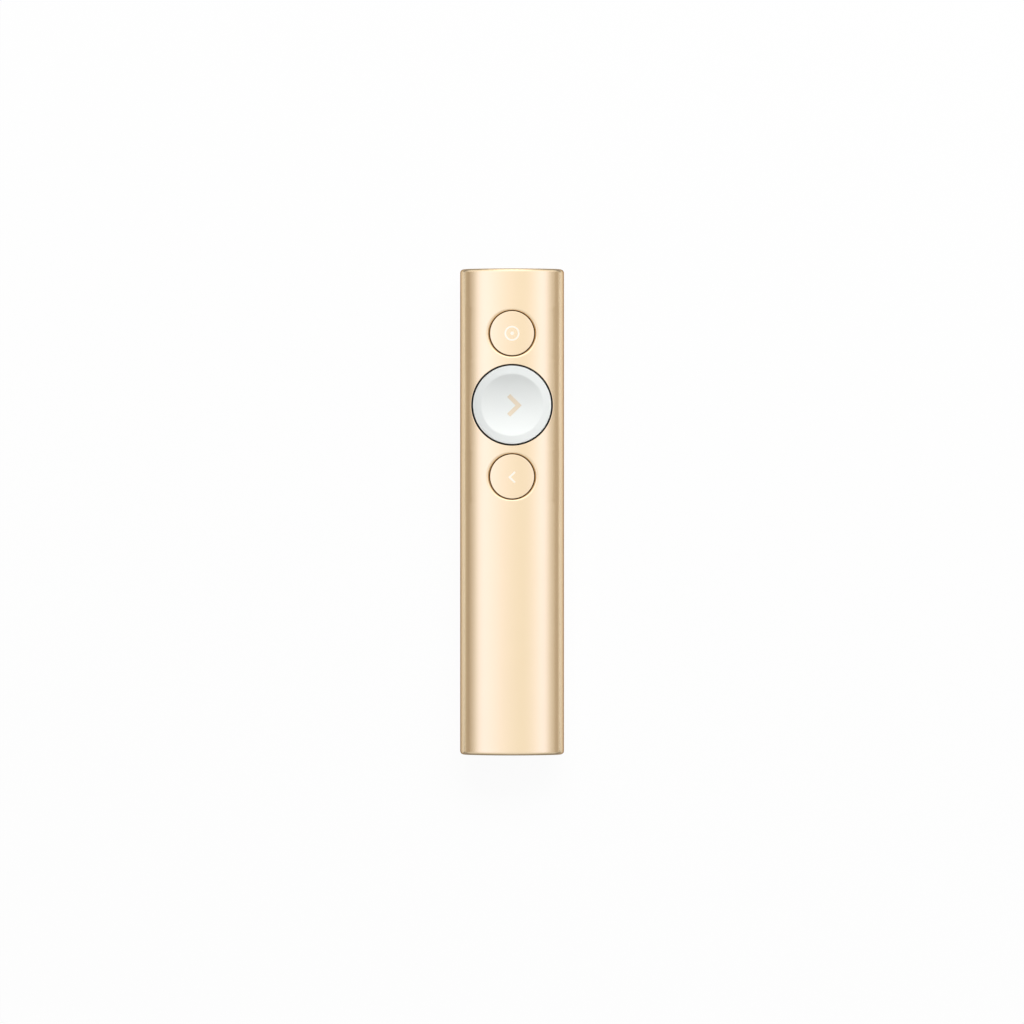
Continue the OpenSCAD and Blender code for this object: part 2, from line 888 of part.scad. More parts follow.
// The pressed cover over the radio, with a row of vent holes.
module shield_can() {
    can_y = (back_y + next_y) / 2;
    color(steel)
        difference() {
            translate([0, can_y, board_top])
                linear_extrude(height = can_size[2])
                    round_rect(can_size[0], can_size[1], 0.6);
            translate([0, can_y, board_top - can_sheet])
                linear_extrude(height = can_size[2])
                    round_rect(can_size[0] - 2 * can_sheet, can_size[1] - 2 * can_sheet, 0.4);
            for (i = [-2:2])
                translate([i * can_size[0] / 6, can_y, board_top])
                    cylinder(r = 0.4, h = 2 * can_size[2]);
        }
}

// The ceramic chip antenna beside the motor, at the nose end of the board.
module chip_antenna() {
    color(white)
        translate([board_width / 2 - 3.2, board_y1 - 3.2, board_top])
            cube([1.6, 3, 1.2]);
}

// The lithium pouch, with its folded side seams and its top flap.
module battery() {
    color([0.72, 0.73, 0.75]) {
        translate([battery_x, 0, battery_z0 + battery_thickness / 2])
            along_y(battery_y0, battery_y1 - battery_flap)
                round_rect(battery_width, battery_thickness, 0.9);
        translate([battery_x - battery_width / 2 + 1, battery_y1 - battery_flap, battery_z0 + 0.9])
            cube([battery_width - 2, battery_flap, battery_thickness - 1.8]);
    }
}

// The adhesive foam that the pouch is bedded on.
module battery_pad() {
    color([0.85, 0.85, 0.8])
        translate([battery_x - battery_width / 2 + pad_margin, battery_y0 + pad_margin, bed_z])
            cube([battery_width - 2 * pad_margin, battery_length - 2 * pad_margin, pad_thickness]);
}

// The battery's two leads, from its flap to the connector.
module battery_leads() {
    color([0.75, 0.1, 0.1])
        for (x = lead_xs)
            translate([x, 0, lead_z])
                rod_y(lead_r, battery_y1, board_y0 + 1);
}

// The white two-way connector on the main board.
module battery_connector() {
    color(white)
        difference() {
            translate([lead_xs[0] - 0.6, board_y0 + 1, board_top])
                cube([lead_xs[1] - lead_xs[0] + 1.2, plug_in_length, plug_in_height]);
            for (x = lead_xs)
                translate([x, board_y0 + 3.2, board_top + plug_in_height])
                    cube([0.5, 1.2, 1.4], center = true);
        }
}

// ---- Vibration motor ----

// The motor's can, with a bore for its shaft and two leads that bend down to the board.
module vibration_motor() {
    color(steel)
        translate([motor_x0, motor_y, motor_z])
            rotate([0, 90, 0])
                difference() {
                    union() {
                        cylinder(r = motor_r, h = motor_length);
                        cylinder(r = motor_nose_r, h = motor_length + motor_nose);
                        motor_leads();
                    }
                    translate([0, 0, motor_length - motor_bore])
                        cylinder(r = shaft_r + 0.04, h = motor_bore + 1);
                }
}

// The leads, in the can's own frame: out of its end and then down.
module motor_leads() {
    for (s = [-1, 1])
        translate([0, s * motor_lead_spread, -motor_lead_out]) {
            cylinder(r = motor_lead_r, h = motor_lead_out);
            sphere(r = motor_lead_r);
            rotate([0, 90, 0])
                cylinder(r = motor_lead_r, h = motor_z - board_top);
        }
}

// The rubber cradle that holds the can to the board.
module motor_cradle() {
    length = motor_length - 2;
    color(charcoal)
        difference() {
            translate([motor_x0 + 1, motor_y - motor_r + 0.1, board_top])
                cube([length, 2 * motor_r - 0.2, motor_r + 0.1]);
            translate([motor_x0, motor_y, motor_z])
                rotate([0, 90, 0])
                    cylinder(r = motor_r, h = motor_length);
        }
}

// The motor's shaft.
module motor_shaft() {
    color(steel)
        translate([weight_x0 + weight_length, motor_y, motor_z])
            rotate([0, -90, 0])
                cylinder(r = shaft_r, h = weight_length + weight_gap + motor_bore - 0.1);
}

// The lopsided weight on the shaft, hanging down at rest.
module motor_weight() {
    color([0.45, 0.45, 0.47])
        translate([weight_x0, motor_y, motor_z])
            rotate([0, 90, 0])
                difference() {
                    union() {
                        cylinder(r = 0.8, h = weight_length);
                        intersection() {
                            cylinder(r = weight_r, h = weight_length);
                            translate([0, -motor_r, 0])
                                cube([motor_r, 2 * motor_r, weight_length]);
                        }
                    }
                    cylinder(r = shaft_r, h = 3 * weight_length, center = true);
                }
}

// ---- Charging port and ribbon ----

// The small board behind the charging port.
module charge_board() {
    color(board_green)
        translate([charge_x0, port_y1, charge_top - board_thickness])
            cube([charge_x1 - charge_x0, charge_y1 - port_y1, board_thickness]);
}

// The port's drawn steel shell, closed at the back, with two tabs soldered to its board.
module charge_port_shell() {
    color(steel) {
        translate([port_x, 0, mid_z])
            difference() {
                along_y(port_y0, port_y1)
                    stadium(port_width, port_height);
                along_y(port_y0 - 1, port_y1 - port_back)
                    stadium(port_width - 2 * port_sheet, port_height - 2 * port_sheet);
            }
        for (s = [-1, 1])
            translate([port_x + s * tab_x - tab_size[0] / 2, port_y1 - 0.2, charge_top])
                cube([tab_size[0], tab_size[1] + 0.2, port_sheet]);
    }
}

// The port's tongue, standing on the shell's back wall.
module charge_port_tongue() {
    color(charcoal)
        translate([port_x, 0, mid_z])
            along_y(port_y0 + port_tongue_recess, port_y1 - port_back)
                square([port_tongue_width, port_tongue_height], center = true);
}

// The flat ribbon from the charging board to the main board, with one gentle step down.
module flex_ribbon() {
    steps = 16;
    step_y0 = charge_y1 + 3;
    step_length = 8;
    z_high = charge_top + ribbon_lift;
    z_low = board_top + ribbon_lift;
    function ease(t) = t * t * (3 - 2 * t);
    upper = [for (i = [0:steps])
        [step_y0 + step_length * i / steps, z_high + (z_low - z_high) * ease(i / steps)]];
    line = concat([[ribbon_y0, z_high]], upper, [[ribbon_y1, z_low]]);
    count = len(line);
    color([0.75, 0.45, 0.1])
        translate([ribbon_x - ribbon_width / 2, 0, 0])
            rotate([90, 0, 90])
                linear_extrude(height = ribbon_width)
                    polygon(concat(line,
                        [for (i = [count - 1:-1:0]) line[i] + [0, ribbon_sheet]]));
}

// The two clamp connectors that hold the ribbon's ends.
module ribbon_connectors() {
    ends = [[charge_y1 - 3.2, charge_top], [board_y0 + 0.8, board_top]];
    color(charcoal)
        for (e = ends)
            translate([ribbon_x - ribbon_width / 2 - clip_wall, e[0], e[1]])
                difference() {
                    cube([ribbon_width + 2 * clip_wall, clip_length, clip_height]);
                    translate([clip_wall - 0.05, -1, ribbon_lift - 0.05])
                        cube([ribbon_width + 0.1, clip_length + 2, ribbon_sheet + 0.1]);
                }
}

// The status light on the charging board.
module status_led() {
    color([0.9, 0.95, 0.85])
        translate([port_x - 0.6, led_y - 0.4, charge_top])
            cube([1.2, 0.8, 0.6]);
}

// The clear pipe that carries its light to the tail plate.
module light_pipe() {
    color([0.85, 0.9, 0.95]) {
        translate([port_x, 0, pipe_z])
            rod_y(pipe_r, tail_plate_y0, led_y + pipe_r);
        translate([port_x, led_y, charge_top + 0.7])
            cylinder(r = pipe_r, h = pipe_z - charge_top - 0.7);
    }
}

// ---- Receiver ----

// The oval grip that closes the tail, with a fingernail groove.
module receiver_grip() {
    color(charcoal)
        difference() {
            oval_bar(tray_inset, grip_y0, grip_y1);
            translate([-nail_groove_length / 2, grip_y0, mid_z])
                rotate([0, 90, 0])
                    cylinder(r = nail_groove_r, h = nail_groove_length);
        }
}

// The hollow moulded neck around the receiver's board.
module receiver_housing() {
    color(charcoal)
        translate([plug_x, 0, mid_z])
            difference() {
                along_y(grip_y1, neck_y1)
                    round_rect(neck_width, neck_height, neck_corner);
                along_y(grip_y1 + 0.5, neck_y1 - 0.8)
                    square([neck_width - 2 * neck_wall, neck_height - 2 * neck_wall], center = true);
            }
}

// The receiver's board, inside the neck.
module receiver_board() {
    color(board_green)
        translate([plug_x, 0, mid_z - 0.7])
            along_y(grip_y1 + 0.6, neck_y1 - 0.8)
                square([neck_width - 2 * neck_wall - 0.2, board_thickness], center = true);
}

// The radio chip on the receiver's board.
module receiver_chip() {
    color([0.12, 0.12, 0.13])
        translate([plug_x - 2, grip_y1 + 1.6, mid_z - 0.7 + board_thickness / 2])
            cube([4, 4, 0.8]);
}

// The plug's shell, folded from sheet with its seam underneath, and two latch windows in each
// broad face.
module receiver_plug_shell() {
    color(steel)
        translate([plug_x, 0, mid_z])
            difference() {
                along_y(neck_y1, plug_y1)
                    round_rect(plug_width, plug_height, 0.4);
                along_y(neck_y1 - 1, plug_y1 + 1)
                    square([plug_width - 2 * plug_sheet, plug_height - 2 * plug_sheet], center = true);
                for (x = [-latch_x, latch_x])
                    translate([x - latch_window[0] / 2, neck_y1 + latch_from_neck, -plug_height])
                        cube([latch_window[0], latch_window[1], 2 * plug_height]);
                along_y(grip_y1, dock_y1)
                    translate([0, -plug_height / 2])
                        square([shell_seam, plug_height], center = true);
            }
}

// The insulating tongue in the lower half of the shell.
module receiver_tongue() {
    color([0.92, 0.92, 0.9])
        translate([plug_x, 0, mid_z - plug_height / 2 + plug_sheet]) {
            translate([-plug_width / 2 + plug_sheet, neck_y1, 0])
                cube([plug_width - 2 * plug_sheet, plug_length - 0.4, tongue_thickness]);
        }
}

// The four contacts on the tongue. The outer two are longer.
module receiver_contacts() {
    color(contact_gold)
        for (i = [0:3])
            translate([plug_x - 0.5 + contact_x[i], neck_y1 + 2,
                mid_z - plug_height / 2 + plug_sheet + tongue_thickness])
                cube([1, contact_length[i], 0.1]);
}

housing_sleeve();
nose_cover();
chassis();
tail_plate();
small_cap(pointer_y);  // pointer_cap
small_carrier(pointer_y);  // pointer_carrier
switch_plunger(pointer_y);  // pointer_plunger
next_cap();
next_carrier();
switch_plunger(next_y);  // next_plunger
small_cap(back_y);  // back_cap
small_carrier(back_y);  // back_carrier
switch_plunger(back_y);  // back_plunger
switch_body(pointer_y);  // pointer_switch
switch_body(next_y);  // next_switch
switch_body(back_y);  // back_switch
switch_dome(pointer_y);  // pointer_dome
switch_dome(next_y);  // next_dome
switch_dome(back_y);  // back_dome
keypad_frame();
frame_screws();
main_board();
board_parts();
shield_can();
chip_antenna();
battery();
battery_pad();
battery_leads();
battery_connector();
vibration_motor();
motor_cradle();
motor_shaft();
motor_weight();
charge_board();
charge_port_shell();
charge_port_tongue();
flex_ribbon();
ribbon_connectors();
status_led();
light_pipe();
receiver_grip();
receiver_housing();
receiver_board();
receiver_chip();
receiver_plug_shell();
receiver_tongue();
receiver_contacts();
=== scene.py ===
import math

import bmesh
import bpy
import numpy as np
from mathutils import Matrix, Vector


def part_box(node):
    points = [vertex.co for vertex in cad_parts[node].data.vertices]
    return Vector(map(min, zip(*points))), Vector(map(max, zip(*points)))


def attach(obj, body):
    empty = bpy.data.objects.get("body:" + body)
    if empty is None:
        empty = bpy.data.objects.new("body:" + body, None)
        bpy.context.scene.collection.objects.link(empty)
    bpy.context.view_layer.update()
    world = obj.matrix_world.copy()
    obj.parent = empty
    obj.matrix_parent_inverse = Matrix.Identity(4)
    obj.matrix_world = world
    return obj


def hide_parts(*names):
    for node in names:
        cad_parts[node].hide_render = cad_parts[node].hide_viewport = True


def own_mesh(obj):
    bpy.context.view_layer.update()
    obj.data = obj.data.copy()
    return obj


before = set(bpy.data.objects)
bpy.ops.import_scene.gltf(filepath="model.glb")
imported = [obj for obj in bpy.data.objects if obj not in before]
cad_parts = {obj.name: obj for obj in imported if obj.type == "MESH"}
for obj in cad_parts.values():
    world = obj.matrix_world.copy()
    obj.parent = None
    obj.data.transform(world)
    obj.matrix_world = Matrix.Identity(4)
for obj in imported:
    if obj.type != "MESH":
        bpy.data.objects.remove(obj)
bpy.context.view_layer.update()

# ---- Camera ----
# A long lens straight above the face, with the nose of the clicker at the top of the frame.
# 1 m is far enough for the sleeve's sides to stay hidden. The scene is in metres, the pieces'
# own sizes are in millimetres.
mm = 0.001
image_side = 1024
lens_height = 1000 * mm
face_z = 12.1 * mm
aim_x, aim_y = -0.02 * mm, -0.02 * mm
mm_per_pixel = 0.2693
seen_width = image_side * mm_per_pixel * mm
sensor_width = 36

camera_data = bpy.data.cameras.new("camera")
camera_data.sensor_width = sensor_width
camera_data.lens = sensor_width * lens_height / seen_width
camera_data.clip_start = lens_height / 100
camera = bpy.data.objects.new("camera", camera_data)
camera.location = (aim_x, aim_y, face_z + lens_height)
bpy.context.scene.collection.objects.link(camera)
bpy.context.scene.camera = camera
bpy.context.scene.view_settings.view_transform = "Standard"


# ---- Studio ----
# A white table in a light tent. Mirrors see the tent's cloth: two long softboxes along the
# clicker's sides, plain cloth towards its ends and a strip light beyond its nose. Matt surfaces
# are lit by two lamps that mirrors don't see.
def add_node(tree, kind, inputs=None, **settings):
    """Adds one node, sets its properties or named inputs, and fills {input: socket or value}."""
    node = tree.nodes.new(kind)
    for name, value in settings.items():
        if hasattr(node, name):
            setattr(node, name, value)
        else:
            node.inputs[name.replace("_", " ")].default_value = value
    for name, value in (inputs or {}).items():
        if isinstance(value, bpy.types.NodeSocket):
            tree.links.new(value, node.inputs[name])
        else:
            node.inputs[name].default_value = value
    return node


def empty_tree(owner):
    """The cleared node tree of a world or a material."""
    owner.use_nodes = True
    owner.node_tree.nodes.clear()
    return owner.node_tree


# Light beside the clicker by the angle in degrees from overhead, negative on the left: the
# softboxes are brightest from 20 to 38 degrees on each side, with dark gaps beyond them.
across_steps = [(-90, 1.0), (-86, 0.84), (-80, 0.55), (-72, 0.47), (-58, 0.42), (-48, 0.38),
                (-43, 0.46), (-40, 0.82), (-38, 1.08), (-35, 1.23), (-31, 1.27), (-22, 1.20),
                (-10, 1.10), (0, 1.045), (9, 1.00), (16, 1.01), (25, 1.12), (30, 1.23),
                (34, 1.30), (36.5, 1.23), (39.5, 0.97), (43.5, 0.55), (50, 0.51), (58, 0.47),
                (72, 0.49), (80, 0.56), (86, 0.86), (90, 1.0)]
# Light of the cloth at both ends by height, from the table (0) to overhead (1).
cloth_steps = [(0, 0.8), (0.3, 0.92), (0.6, 1.0), (1, 1.07)]
# How strongly a direction shines by its lean towards the nose, from -1 to 1.
along_steps = [(-1, 0.5), (-0.85, 0.75), (-0.3, 0.92), (-0.08, 0.98), (0, 1.0), (0.2, 1.1),
               (1, 1.3)]
# Red and blue are these powers of the level, so that bright cloth is a little cool and dim cloth
# a little warm. Blue has one power above a level of 1 and another below it.
red_power, bright_blue_power, dim_blue_power = 0.85, 1.9, 1.2


def light_ramp(tree, source, steps, low, high, tinted):
    """Light by position between low and high, in grey or with the cloth's tint."""
    spread = add_node(tree, "ShaderNodeMapRange", {"Value": source}, From_Min=low, From_Max=high)
    node = add_node(tree, "ShaderNodeValToRGB", {"Fac": spread.outputs["Result"]})
    elements = node.color_ramp.elements
    while len(elements) < len(steps):
        elements.new(0.5)
    for element, (place, level) in zip(elements, steps):
        blue_power = bright_blue_power if level > 1 else dim_blue_power
        colour = (level**red_power, level, level**blue_power) if tinted else (level,) * 3
        element.position = (place - low) / (high - low)
        element.color = (*colour, 1)
    return node.outputs["Color"]


world = bpy.data.worlds.new("light tent")
bpy.context.scene.world = world
tree = empty_tree(world)
way = add_node(tree, "ShaderNodeTexCoord").outputs["Generated"]
lean = add_node(tree, "ShaderNodeSeparateXYZ", {"Vector": way}).outputs
angle = add_node(tree, "ShaderNodeMath", {0: lean["X"], 1: lean["Z"]}, operation="ARCTAN2")
degrees = add_node(tree, "ShaderNodeMath", {0: angle.outputs["Value"]}, operation="DEGREES")
across = light_ramp(tree, degrees.outputs["Value"], across_steps, -90, 90, tinted=True)
cloth = light_ramp(tree, lean["Z"], cloth_steps, 0, 1, tinted=True)
along = light_ramp(tree, lean["Y"], along_steps, -1, 1, tinted=False)
# The softboxes give way to the cloth between these leans towards either end.
box_end, cloth_start = 0.2, 0.55
end_lean = add_node(tree, "ShaderNodeMath", {0: lean["Y"]}, operation="ABSOLUTE")
cloth_share = add_node(tree, "ShaderNodeMapRange", {"Value": end_lean.outputs["Value"]},
                       interpolation_type="SMOOTHSTEP", From_Min=box_end, From_Max=cloth_start)
walls = add_node(tree, "ShaderNodeMix", {"Factor": cloth_share.outputs["Result"], 6: across,
                                         7: cloth}, data_type="RGBA")
tent = add_node(tree, "ShaderNodeVectorMath", {0: walls.outputs[2], 1: along},
                operation="MULTIPLY")
# The tent's corners, where a side meets an end, are darker towards the table:
# 1 - corner_dark * |x y| (1 - z) ** 2.
corner_dark = 1.4
side_by_end = add_node(tree, "ShaderNodeMath", {0: lean["X"], 1: lean["Y"]}, operation="MULTIPLY")
in_corner = add_node(tree, "ShaderNodeMath", {0: side_by_end.outputs["Value"]},
                     operation="ABSOLUTE")
depth = add_node(tree, "ShaderNodeMath", {0: 1.0, 1: lean["Z"]}, operation="SUBTRACT",
                 use_clamp=True)
depth_squared = add_node(tree, "ShaderNodeMath", {0: depth.outputs["Value"],
                                                  1: depth.outputs["Value"]},
                         operation="MULTIPLY")
low_corner = add_node(tree, "ShaderNodeMath", {0: in_corner.outputs["Value"],
                                               1: depth_squared.outputs["Value"]},
                      operation="MULTIPLY")
corner_light = add_node(tree, "ShaderNodeMath", {0: low_corner.outputs["Value"],
                                                 1: -corner_dark, 2: 1.0},
                        operation="MULTIPLY_ADD")
# A tall strip light stands beyond the nose. It comes in between the two leans of strip_in towards
# the nose, and goes out between the two of strip_out to either side.
strip_gain, strip_in, strip_out = 0.3, (0.25, 0.5), (0.15, 0.35)
side_lean = add_node(tree, "ShaderNodeMath", {0: lean["X"]}, operation="ABSOLUTE")
strip_width = add_node(tree, "ShaderNodeMapRange", {"Value": side_lean.outputs["Value"]},
                       interpolation_type="SMOOTHSTEP", From_Min=strip_out[0],
                       From_Max=strip_out[1], To_Min=strip_gain, To_Max=0)
strip_start = add_node(tree, "ShaderNodeMapRange", {"Value": lean["Y"]},
                       interpolation_type="SMOOTHSTEP", From_Min=strip_in[0],
                       From_Max=strip_in[1])
strength = add_node(tree, "ShaderNodeMath", {0: strip_width.outputs["Result"],
                                             1: strip_start.outputs["Result"],
                                             2: corner_light.outputs["Value"]},
                    operation="MULTIPLY_ADD")
tent_light = add_node(tree, "ShaderNodeBackground", {"Color": tent.outputs["Vector"],
                                                     "Strength": strength.outputs["Value"]})
# The camera sees plain white past the table instead of the tent.
backdrop_white = 0.98
backdrop = add_node(tree, "ShaderNodeBackground", Color=(1, 1, 1, 1), Strength=backdrop_white)
ray = add_node(tree, "ShaderNodeLightPath").outputs
shown = add_node(tree, "ShaderNodeMixShader", {"Fac": ray["Is Camera Ray"],
                                               1: tent_light.outputs["Background"],
                                               2: backdrop.outputs["Background"]})
add_node(tree, "ShaderNodeOutputWorld", {"Surface": shown.outputs["Shader"]})
world.cycles_visibility.diffuse = False

# A wide softbox hangs overhead and a long one stands beyond the nose. Each is given by its
# distance, its angle from overhead towards the nose, its place across, its size and its watts.
lamps = [("overhead softbox", 1.6, 0, 0, (2.4, 2.4), 13.7),
         ("nose softbox", 1.2, math.radians(52), 0.4, (1.7, 0.5), 20.0)]
for name, away, tilt, lamp_x, size, watts in lamps:
    lamp_data = bpy.data.lights.new(name, "AREA")
    lamp_data.shape = "RECTANGLE"
    lamp_data.size, lamp_data.size_y = size
    lamp_data.energy = watts
    lamp = bpy.data.objects.new(name, lamp_data)
    lamp.location = (lamp_x, away * math.sin(tilt), away * math.cos(tilt))
    lamp.rotation_euler = (-tilt, 0, 0)
    lamp.visible_glossy = lamp.visible_camera = False
    bpy.context.scene.collection.objects.link(lamp)

# The table lies a hair below the sleeve's flat, because two faces in one plane flicker.
table_side, table_z = 4.0, -0.02 * mm
table_corners = np.array([[-1, -1, 0], [1, -1, 0], [1, 1, 0], [-1, 1, 0]]) * table_side / 2
table_corners[:, 2] = table_z
table = bpy.data.meshes.new("table")
table.from_pydata(table_corners.tolist(), [], [(0, 1, 2, 3)])
table_object = bpy.data.objects.new("table", table)
bpy.context.scene.collection.objects.link(table_object)

table_paint = bpy.data.materials.new("white table lacquer")
table.materials.append(table_paint)
tree = empty_tree(table_paint)
ray = add_node(tree, "ShaderNodeLightPath").outputs
spot = add_node(tree, "ShaderNodeTexCoord").outputs["Object"]
place = add_node(tree, "ShaderNodeSeparateXYZ", {"Vector": spot}).outputs
# Painted shade that only mirrors see: beyond both ends the table's colour turns dark grey for
# glossy rays, fully so from the second of the two reaches below, so that the sleeve's rims
# reflect dark there. Beyond the nose it is open in the middle, fully as far as gap_open from the
# centre line, and no more past gap_shut.
mirror_shade_start, mirror_shade_full, gap_open, gap_shut = 67 * mm, 80 * mm, 9 * mm, 15 * mm
lacquer_white, mirror_shade_grey = 0.88, 0.14
reach = add_node(tree, "ShaderNodeMath", {0: place["Y"]}, operation="ABSOLUTE")
shade_along = add_node(tree, "ShaderNodeMapRange", {"Value": reach.outputs["Value"]},
                From_Min=mirror_shade_start, From_Max=mirror_shade_full)
aside = add_node(tree, "ShaderNodeMath", {0: place["X"]}, operation="ABSOLUTE")
beside_gap = add_node(tree, "ShaderNodeMapRange", {"Value": aside.outputs["Value"]},
                      From_Min=gap_open, From_Max=gap_shut)
tailward = add_node(tree, "ShaderNodeMath", {0: place["Y"], 1: 0.0}, operation="LESS_THAN")
closed = add_node(tree, "ShaderNodeMath", {0: beside_gap.outputs["Result"],
                                           1: tailward.outputs["Value"]}, operation="MAXIMUM")
shade_laid = add_node(tree, "ShaderNodeMath", {0: shade_along.outputs["Result"], 1: closed.outputs["Value"]},
                operation="MULTIPLY")
# Only glossy rays see this painted shade; the camera sees the table plain white.
mirror_shaded = add_node(tree, "ShaderNodeMath", {0: shade_laid.outputs["Value"], 1: ray["Is Glossy Ray"]},
                  operation="MULTIPLY")
tone = add_node(tree, "ShaderNodeMapRange", {"Value": mirror_shaded.outputs["Value"]},
                To_Min=lacquer_white, To_Max=mirror_shade_grey)
matt = add_node(tree, "ShaderNodeBsdfDiffuse", {"Color": tone.outputs["Result"]})
glow = add_node(tree, "ShaderNodeEmission", Color=(1, 1, 1, 1), Strength=1.0)
# Most of the table's white is its own, so that its shadow stays faint; a mirror sees less of it.
camera_glow, mirror_glow = 0.95, 0.24
mirrored = add_node(tree, "ShaderNodeMath", {0: ray["Is Glossy Ray"],
                                             1: ray["Is Transmission Ray"]}, operation="ADD")
mirror_share = add_node(tree, "ShaderNodeMath", {0: mirrored.outputs["Value"], 1: mirror_glow},
                        operation="MULTIPLY")
glow_share = add_node(tree, "ShaderNodeMath", {0: ray["Is Camera Ray"], 1: camera_glow,
                                               2: mirror_share.outputs["Value"]},
                      operation="MULTIPLY_ADD")
lacquer = add_node(tree, "ShaderNodeMixShader", {"Fac": glow_share.outputs["Value"],
                                                 1: matt.outputs["BSDF"],
                                                 2: glow.outputs["Emission"]})
add_node(tree, "ShaderNodeOutputMaterial", {"Surface": lacquer.outputs["Shader"]})

# ---- Sleeve ----
# One length of oval aluminium tube, extruded, cut and drilled for the keys, its rims and hole
# edges rounded by tumbling. Fine bead blasting and a clear gold anodic layer give it a soft,
# slightly milky sheen with long bands of light along its curve.
body_depth, body_width, body_length = 12.1, 28.1, 131.3
side_radius, rest_flat, sleeve_wall, end_round = 4.2, 0.24, 1.2, 0.9
pointer_y, next_y, back_y = 48.15, 28.85, 9.55
small_hole_r, next_hole_r = 6.23, 11.03
# The holes' worn edges: their widths at the sides, and how far they turn down.
small_edge, next_edge, edge_turn = 0.9, 0.12, math.radians(55)

half_length = body_length / 2
half_depth = (body_depth + rest_flat) / 2
mid_z = body_depth - half_depth
side_x = body_width / 2 - side_radius
crown_radius = (side_x**2 + half_depth**2 - side_radius**2) / (2 * (half_depth - side_radius))
crown_drop = crown_radius - half_depth
tangent_angle = math.atan2(side_x, crown_drop)


def oval_top(x, inset=0.0):
    """Height of the oval's upper skin: the crown arc, and past its tangent point the side arc."""
    reach = np.abs(x)
    crown = mid_z - crown_drop + np.sqrt(np.maximum((crown_radius - inset) ** 2 - reach**2, 0))
    side = mid_z + np.sqrt(np.maximum((side_radius - inset) ** 2 - (reach - side_x) ** 2, 0))
    return np.where(reach <= side_x + (side_radius - inset) * math.sin(tangent_angle), crown, side)


def oval_stations(top_x, side_steps=36, belly_steps=40):
    """Arc centre, radius and outward normal of each station round the oval: the given places on
    top from left to right, then the right side, the belly and the left side."""
    sign, reach = np.sign(top_x), np.abs(top_x)
    on_crown = reach <= side_x + side_radius * math.sin(tangent_angle)
    lean = np.where(on_crown, reach / crown_radius, (reach - side_x) / side_radius)
    normal = np.stack([sign * lean, np.sqrt(1 - lean**2)], axis=1)
    centre = np.stack([np.where(on_crown, 0, sign * side_x),
                       np.where(on_crown, mid_z - crown_drop, mid_z)], axis=1)
    radius = np.where(on_crown, crown_radius, side_radius)
    # The right side goes on from the last place on top to the belly's tangent point.
    first = math.asin((top_x[-1] - side_x) / side_radius)
    turn = np.linspace(first, math.pi - tangent_angle, side_steps + 1)[1:]
    right = np.stack([np.sin(turn), np.cos(turn)], axis=1)
    # The belly is the crown's mirror image, with one station moved onto each edge of the flat.
    flat_edge = math.sqrt(crown_radius**2 - (crown_radius - rest_flat) ** 2)
    reach = np.linspace(crown_radius * math.sin(tangent_angle), 0, belly_steps // 2 + 1)[1:]
    reach[np.argmin(np.abs(reach - flat_edge))] = flat_edge
    reach = np.concatenate([reach, -reach[-2::-1]])
    belly = np.stack([reach / crown_radius, -np.sqrt(1 - (reach / crown_radius) ** 2)], axis=1)
    left = right[::-1] * [-1, 1]
    normal = np.concatenate([normal, right, belly, left])
    side_centre = np.tile([side_x, mid_z], (len(right), 1))
    belly_centre = np.tile([0, mid_z + crown_drop], (len(belly), 1))
    centre = np.concatenate([centre, side_centre, belly_centre, side_centre * [-1, 1]])
    side_r = np.full(len(right), side_radius)
    radius = np.concatenate([radius, side_r, np.full(len(belly), crown_radius), side_r])
    return centre, radius, normal


def grid_faces(rows, columns, wrap=False):
    """Quads of a grid of points stored row by row, joined from last column to first if wrap."""
    row, column = np.mgrid[0:rows - 1, 0:columns if wrap else columns - 1]
    after = (column + 1) % columns
    quads = np.stack([row * columns + column, row * columns + after,
                      (row + 1) * columns + after, (row + 1) * columns + column], axis=-1)
    return quads.reshape(-1, 4)


def surface_piece(name, body, patches, smooth_angle=40, merge_grid=0.00002):
    """Welds (points, quads) patches given in millimetres into one closed mesh that rides a body.
    Points are merged on a grid of merge_grid. Quads that shrank to a line are dropped, and so are
    walls that two patches share."""
    points = np.concatenate([p for p, _ in patches])
    shift = np.cumsum([0] + [len(p) for p, _ in patches])
    quads = np.concatenate([q + s for (_, q), s in zip(patches, shift)])
    keys = np.round(points / merge_grid).astype(np.int64)
    _, first, index = np.unique(keys, axis=0, return_index=True, return_inverse=True)
    points, quads = points[first], index.reshape(-1)[quads]
    nexts = np.roll(quads, -1, axis=1)
    kept = (quads != nexts).sum(axis=1) >= 3
    _, index, times = np.unique(np.sort(quads, axis=1), axis=0, return_inverse=True,
                                return_counts=True)
    kept &= times[index.reshape(-1)] == 1
    quads, nexts = quads[kept], nexts[kept]
    faces = [[a for a, b in zip(q, n) if a != b] for q, n in zip(quads.tolist(), nexts.tolist())]
    mesh = bpy.data.meshes.new(name)
    mesh.from_pydata((points * mm).tolist(), [], faces)
    shell = bmesh.new()
    shell.from_mesh(mesh)
    bmesh.ops.recalc_face_normals(shell, faces=shell.faces)
    open_edges = sum(1 for e in shell.edges if len(e.link_faces) != 2)
    if open_edges:
        print(name, "has", open_edges, "open edges")
    shell.to_mesh(mesh)
    shell.free()
    mesh.shade_smooth()
    mesh.set_sharp_from_angle(angle=math.radians(smooth_angle))
    piece = bpy.data.objects.new(name, mesh)
    bpy.context.scene.collection.objects.link(piece)
    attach(piece, body)
    return piece


# The face runs to top_reach on both sides of the middle, in top_steps strips that narrow towards
# the sides, because they are even in an angle that ends at top_turn.
top_reach, top_steps, top_turn = 12.6, 64, 1.2
top_x = top_reach * np.sin(np.linspace(-1, 1, top_steps + 1) * top_turn) / math.sin(top_turn)
